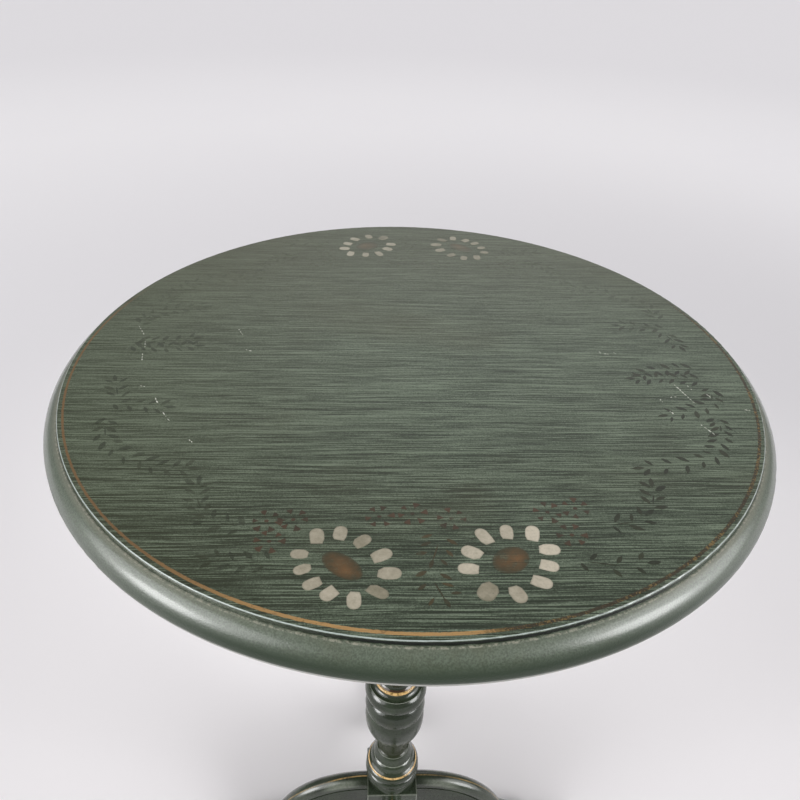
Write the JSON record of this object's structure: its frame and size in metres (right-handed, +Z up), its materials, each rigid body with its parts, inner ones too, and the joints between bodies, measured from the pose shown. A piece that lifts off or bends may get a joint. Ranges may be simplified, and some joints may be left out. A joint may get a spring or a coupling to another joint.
{
  "type": "tilt top table",
  "caption": "Round painted pedestal table whose moulded top tilts upright on a block over a turned column with scroll legs.",
  "frame": {"origin": "on the floor under the middle of the column", "axes": "+Z up along the column, -Y towards the sitter, +X to the sitter's right; the top tips up about an axis along X near the block's -Y edge"},
  "size_m": [0.5079, 0.508, 0.711],
  "materials": {
    "painted_top": "streaked dark green paint with gold line and worn stencil, semi-gloss varnish",
    "painted_base": "dark green-black paint with gilded rings and lines, gloss varnish",
    "bare_wood": "aged unfinished hardwood",
    "brass": "aged brass",
    "steel": "dull steel",
    "glide_steel": "domed steel, scuffed",
    "iron": "dark forged iron"
  },
  "bodies": {
    "base": {"tilt_block": "painted_base", "pivot_pin_left": "steel", "pivot_pin_right": "steel", "pivot_washer_left": "brass", "pivot_washer_right": "brass", "tenon_wedge": "bare_wood", "strike_plate": "brass", "strike_screws": "steel", "column": "painted_base", "leg_front": "painted_base", "leg_right": "painted_base", "leg_back": "painted_base", "leg_left": "painted_base", "leg_dowels": "bare_wood", "brace_plate": "iron", "brace_screws": "steel", "glide_front": "glide_steel", "glide_right": "glide_steel", "glide_back": "glide_steel", "glide_left": "glide_steel"},
    "tilting_top": {"top_board": "painted_top", "batten_left": "bare_wood", "batten_right": "bare_wood", "batten_screws": "steel", "latch_case": "brass", "latch_case_screws": "steel", "latch_spring": "steel"},
    "latch_slide": {"latch_bolt": "brass", "latch_knob": "brass"}
  },
  "joints": [
    {"name": "top_tilt", "type": "hinge", "parent": "base", "child": "tilting_top", "pos_m": [0, -0.0365, 0.672], "axis": [1, 0, 0], "range_deg": [0, 90]},
    {"name": "latch_pull", "type": "slide", "parent": "tilting_top", "child": "latch_slide", "axis": [0, -1, 0], "range_m": [0, 0.006], "stiffness_N_per_m": 120, "springref_m": 0.012, "deforming": ["latch_spring"]}
  ]
}
